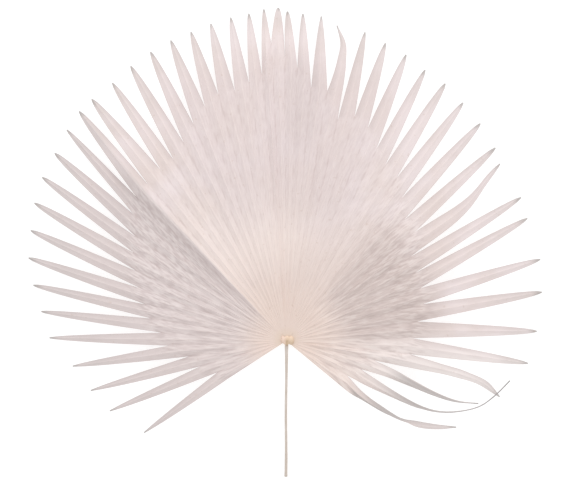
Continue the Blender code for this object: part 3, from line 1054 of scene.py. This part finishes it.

# %% [markdown]
# ## The finish of the sheet
# The leaf was bleached and dried. It is warm and peach-coloured round the hub, where the segments are
# narrow and thick, and turns to a pale pink-lilac further out. Right of the crease it is cream, with a
# painted highlight on the raised side of the fold. Painted shade makes the sector on the crease's left
# greyer, and a painted shadow of the fold lies darkest just beside it. It is duller at the top, has
# painted shade on the far right and a painted shadow band near the top, and is light at the lower right.
# Short, slightly slanted dark and light strokes cover the left and right of the fan, where the sheet is
# wrinkled: they are the wrinkles' own marks and also painted shade and highlight, strongest where the
# light crosses the wrinkles. Parallel veins run along each segment, the valleys have painted shade and
# the midribs a painted highlight. The tips have painted shade along their upper edges and where they are
# curled, and are withered at their points. All of it follows the two maps of the strips, so it stays on
# the leaf from every side.

# %% Where a spot is on the sheet
leaf_finish, tree, leaf_shader = new_finish("bleached dry leaf")
along_map = add_node(tree, "ShaderNodeUVMap", {"uv_map": "along"}, {}).outputs[0]
strip_map = add_node(tree, "ShaderNodeUVMap", {"uv_map": "strip"}, {}).outputs[0]
place_on_leaf = add_node(tree, "ShaderNodeTexCoord", {}, {}).outputs["Object"]
along_parts = add_node(tree, "ShaderNodeSeparateXYZ", {}, {0: along_map})
strip_parts = add_node(tree, "ShaderNodeSeparateXYZ", {}, {0: strip_map})
place = calculate(tree, "MULTIPLY", along_parts.outputs["X"], SEGMENTS)
reach = calculate(tree, "MULTIPLY", along_parts.outputs["Y"], UV_REACH)
share = strip_parts.outputs["Y"]
across_strip = calculate(tree, "MULTIPLY_ADD", strip_parts.outputs["X"], 2.0, -1.0)
from_midrib = calculate(tree, "ABSOLUTE", across_strip)
print("maps of the sheet:", [layer.name for layer in blade.data.uv_layers])

# %% Streaks, strokes and age of the sheet
STROKE_SLANT = 0.06
slant = calculate(tree, "MULTIPLY", along_parts.outputs["Y"], -STROKE_SLANT)
slanted = calculate(tree, "ADD", along_parts.outputs["X"], slant)
slanted_map = add_node(
    tree, "ShaderNodeCombineXYZ", {}, {"X": slanted, "Y": along_parts.outputs["Y"]}
).outputs[0]
streaks = place_group(
    tree,
    fibre_group,
    {"Map": along_map, "Across": SEGMENTS * 3.2, "Along": 14.0, "Fineness": 4.0},
)
strokes = place_group(
    tree,
    fibre_group,
    {"Map": slanted_map, "Across": SEGMENTS * 4.2, "Along": 20.0, "Fineness": 1.7},
)
age = place_group(
    tree, age_group, {"Place": place_on_leaf, "Cloud size": 50 * MM, "Fleck size": 3.5 * MM}
)
soft_streak, fine_streak = streaks.outputs["Soft streak"], streaks.outputs["Fine streak"]
far_out = rising(tree, reach, 70.0, 150.0)
stroke = add_node(
    tree,
    "ShaderNodeMix",
    {},
    {0: far_out, 2: strokes.outputs["Soft streak"], 3: strokes.outputs["Fine streak"]},
).outputs[0]
cloud, fleck = age.outputs["Cloud"], age.outputs["Fleck"]
print("nodes with the streaks, strokes and age:", len(tree.nodes))

# %% The colours of the sheet
LILAC = colour(232, 219, 219)
BEIGE = colour(226, 211, 207)
PEACH = colour(229, 210, 200)
leaf_colour = blend(tree, cloud, LILAC, BEIGE)
near_hub = rising(tree, calculate(tree, "MULTIPLY_ADD", cloud, 30.0, reach), 185.0, 30.0)
leaf_colour = blend(tree, near_hub, leaf_colour, PEACH)
print("peach, as the shader reads it:", tuple(round(c, 3) for c in PEACH[:3]))

# %% Lighter and duller parts of the fan, with painted light and shade among them
AREAS = {
    # where each begins and is full, as places and as reaches, then its strength and its tone
    # cream tone, and a painted highlight on the raised side of the crease
    "cream ring with painted highlight": (((13.5, 13.7), (31, 25)), ((60, 100), (200, 140)), 0.35, (244, 230, 222)),
    # painted shade on the outer right, where the sheet falls away from the light
    "painted shade far right": (((33.5, 37), (44, 42.3)), ((45, 80), (190, 135)), 0.85, (201, 185, 180)),
    "dull top": (((15, 19), (34, 30)), ((105, 165), (330, 280)), 0.5, (214, 199, 199)),
    # a painted shadow band between two folds near the top
    "painted shadow band": (((24.8, 25.8), (28.4, 27.2)), ((190, 240), (335, 275)), 0.5, (208, 194, 193)),
    "light lower right": (((42, 44.5), (48.3, 45.5)), ((15, 130),), 0.7, (244, 236, 233)),
    # painted shade over the sector that tilts away from the light on the crease's left
    "painted shade left of the crease": (((13.7, 13.5),), ((15, 65),), 0.85, (214, 202, 201)),
    # a painted shadow along the steep side of the crease
    "painted shadow beside the crease": (
        ((9.5, 12.6), (13.7, 13.5)),
        ((60, 120), (290, 220)),
        0.45,
        (198, 188, 187),
    ),
    "round the knob": ((), ((18, 6),), 0.5, (218, 196, 174)),
}

for place_ends, reach_ends, strength, tone in AREAS.values():
    masks = [rising(tree, place, *ends) for ends in place_ends]
    masks += [rising(tree, reach, *ends) for ends in reach_ends]
    leaf_colour = tint(tree, leaf_colour, product(tree, *masks), strength, tone)
print("areas with a tone of their own:", ", ".join(AREAS))

# %% Strokes, veins and valleys
# The strokes are the wrinkles' own marks and also painted shade and painted light of their relief,
# stronger on the left and right, where the light crosses the wrinkles.
on_left, on_right = rising(tree, place, 13.8, 13.0), rising(tree, place, 33.0, 38.0)
crosslit_weight = calculate(tree, "MULTIPLY_ADD", calculate(tree, "ADD", on_left, on_right), 0.22, 0.08)
streak_shade = product(tree, rising(tree, reach, 20.0, 70.0), soft_streak, crosslit_weight)
leaf_colour = tint(tree, leaf_colour, streak_shade, 0.7, (200, 184, 182))
woven = product(tree, rising(tree, reach, 15.0, 60.0), rising(tree, share, 0.2, 0.0), crosslit_weight)
painted_shade_stroke = product(tree, rising(tree, stroke, 0.5, 0.95), woven)
leaf_colour = tint(tree, leaf_colour, painted_shade_stroke, 0.9, (166, 148, 146))
painted_light_stroke = product(tree, rising(tree, stroke, 0.5, 0.1), woven)
leaf_colour = tint(tree, leaf_colour, painted_light_stroke, 0.7, (250, 242, 238))
leaf_colour = tint(tree, leaf_colour, fine_streak, 0.12, (248, 240, 236))
# Painted shade in the fold valleys of the joined part, broken up by the strokes.
joined = rising(tree, share, 0.02, 0.0)
valley_shade = product(tree, rising(tree, from_midrib, 0.75, 1.0), joined, stroke)
leaf_colour = tint(tree, leaf_colour, valley_shade, 0.3, (190, 172, 168))
print("nodes with the strokes, veins and valleys:", len(tree.nodes))

# %% Edges and midribs
free_edge = product(tree, rising(tree, from_midrib, 0.86, 1.0), rising(tree, share, 0.0, 0.04))
leaf_colour = tint(tree, leaf_colour, free_edge, 0.35, (190, 178, 174))
# Painted shade: the upper half of each tip faces away from the light, so it is darkened.
# The upper edge of a tip is its right one on the left of the fan, and its left one on the right.
side = calculate(tree, "MULTIPLY_ADD", rising(tree, place, 21.0, 27.0), 2.0, -1.0)
shaded_upper_side = rising(tree, product(tree, across_strip, side), 0.0, 0.9)
shaded_upper_side = product(tree, shaded_upper_side, rising(tree, share, 0.0, 0.06))
leaf_colour = tint(tree, leaf_colour, shaded_upper_side, 0.3, (192, 180, 178))
# A painted highlight along the raised midribs.
midrib = rising(tree, from_midrib, 0.16, 0.0)
leaf_colour = tint(tree, leaf_colour, midrib, 0.2, (244, 232, 226))
print("nodes with the edges and midribs:", len(tree.nodes))

# %% Curled tips and withered points
# The last three segments are curled, and the very last lies flat again beyond its twist.
curled = product(tree, rising(tree, place, 45.02, 45.1), rising(tree, share, 0.12, 0.4))
flat_again = product(tree, rising(tree, place, 47.0, 47.04), rising(tree, share, 0.5, 0.64))
# Painted shade on the curled strips, where their flanks are turned away from the light.
curled_shade = product(tree, curled, calculate(tree, "SUBTRACT", 1.0, flat_again))
leaf_colour = tint(tree, leaf_colour, curled_shade, 0.65, (178, 172, 170))
# Painted shade along the lower edge of the last strip, where it begins to twist.
shaded_lowest_edge = product(
    tree,
    rising(tree, place, 47.42, 47.6),
    rising(tree, share, 0.01, 0.1),
    rising(tree, share, 0.6, 0.5),
)
leaf_colour = tint(tree, leaf_colour, shaded_lowest_edge, 0.6, (150, 144, 142))
thin_end = product(
    tree,
    rising(tree, place, 46.02, 46.06),
    rising(tree, place, 46.99, 46.95),
    rising(tree, share, 0.5, 0.75),
)
leaf_colour = tint(tree, leaf_colour, thin_end, 0.7, (126, 123, 125))
greying = rising(tree, calculate(tree, "MULTIPLY_ADD", cloud, 0.3, share), 0.5, 1.2)
leaf_colour = tint(tree, leaf_colour, greying, 0.3, (192, 187, 187))
withered = rising(tree, calculate(tree, "MULTIPLY_ADD", soft_streak, 0.05, share), 0.93, 1.03)
leaf_colour = tint(tree, leaf_colour, withered, 0.6, (150, 148, 144))
leaf_colour = tint(tree, leaf_colour, fleck, 0.2, (186, 160, 142))
tree.links.new(leaf_colour, leaf_shader.inputs["Base Color"])
print("nodes with the curled tips and the points:", len(tree.nodes))

# %% Gloss and veins of the sheet
gloss = calculate(tree, "MULTIPLY_ADD", soft_streak, 0.12, 0.58)
tree.links.new(gloss, leaf_shader.inputs["Roughness"])
leaf_shader.inputs["Specular IOR Level"].default_value = 0.3
veins = bump(tree, streaks.outputs["Height"], 0.5, 0.08)
tree.links.new(veins, leaf_shader.inputs["Normal"])
blade.data.materials.clear()
blade.data.materials.append(leaf_finish)
print("nodes in the finish of the sheet:", len(tree.nodes))

# %% [markdown]
# ## The finish of the stalk
# The stalk is dry wood, grey-beige and fibrous. The knob at its top is warmer: its left lobe is pale
# pink, its right lobe yellower, and the fold between them has painted shade in a dark honey colour. The
# stalk has no map of its own, so the fibres follow the object's own coordinates, which run along it.

# %% The colours of the stalk
KNOB_FOLD = 0.5

stalk_finish, tree, stalk_shader = new_finish("dry stalk")
place_on_stalk = add_node(tree, "ShaderNodeTexCoord", {}, {}).outputs["Object"]
stalk_parts = add_node(tree, "ShaderNodeSeparateXYZ", {}, {0: place_on_stalk})
fibres_along = place_group(
    tree, fibre_group, {"Map": place_on_stalk, "Across": 1800.0, "Along": 60.0, "Fineness": 2.5}
)
stalk_age = place_group(
    tree, age_group, {"Place": place_on_stalk, "Cloud size": 12 * MM, "Fleck size": 1.6 * MM}
)


def beyond_hub(axis, low, high):
    """A mask that rises between two distances from the hub, in millimetres along X or along Y."""
    middle = HUB.x if axis == "X" else HUB.y
    return rising(tree, stalk_parts.outputs[axis], (middle + low) * MM, (middle + high) * MM)


wood = blend(tree, stalk_age.outputs["Cloud"], colour(214, 204, 197), colour(202, 190, 180))
wood = tint(tree, wood, fibres_along.outputs["Soft streak"], 0.35, (180, 164, 148))
knob_colour = blend(tree, beyond_hub("Y", -2.0, 5.0), colour(214, 190, 164), colour(238, 212, 188))
left_lobe = beyond_hub("X", KNOB_FOLD, KNOB_FOLD - 3.0)
knob_colour = tint(tree, knob_colour, left_lobe, 0.5, (240, 214, 204))
# Painted shade in the fold between the lobes, darkest at its lower end.
beside_fold = calculate(tree, "SUBTRACT", stalk_parts.outputs["X"], (HUB.x + KNOB_FOLD) * MM)
from_fold = calculate(tree, "ABSOLUTE", beside_fold)
shade_in_fold = product(tree, rising(tree, from_fold, 2.0 * MM, 0.4 * MM), beyond_hub("Y", 3.0, -1.0))
knob_colour = tint(tree, knob_colour, shade_in_fold, 0.7, (188, 160, 130))
wood = blend(tree, beyond_hub("Y", -7.0, -3.0), wood, knob_colour)
wood = tint(tree, wood, stalk_age.outputs["Fleck"], 0.4, (128, 98, 72))
tree.links.new(wood, stalk_shader.inputs["Base Color"])
stalk_shader.inputs["Roughness"].default_value = 0.6
grain = bump(tree, fibres_along.outputs["Height"], 0.6, 0.1)
tree.links.new(grain, stalk_shader.inputs["Normal"])
stalk.data.materials.clear()
stalk.data.materials.append(stalk_finish)
print("nodes in the finish of the stalk:", len(tree.nodes))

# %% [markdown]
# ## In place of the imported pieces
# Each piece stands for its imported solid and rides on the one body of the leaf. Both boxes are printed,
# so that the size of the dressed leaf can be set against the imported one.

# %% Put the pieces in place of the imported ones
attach(blade, "root")
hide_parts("blade")
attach(stalk, "root")
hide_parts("stalk")
shown_low, shown_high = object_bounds()
shown_size = [round(high - low, 4) for low, high in zip(shown_low, shown_high)]
print("shown leaf, in metres:", shown_size)
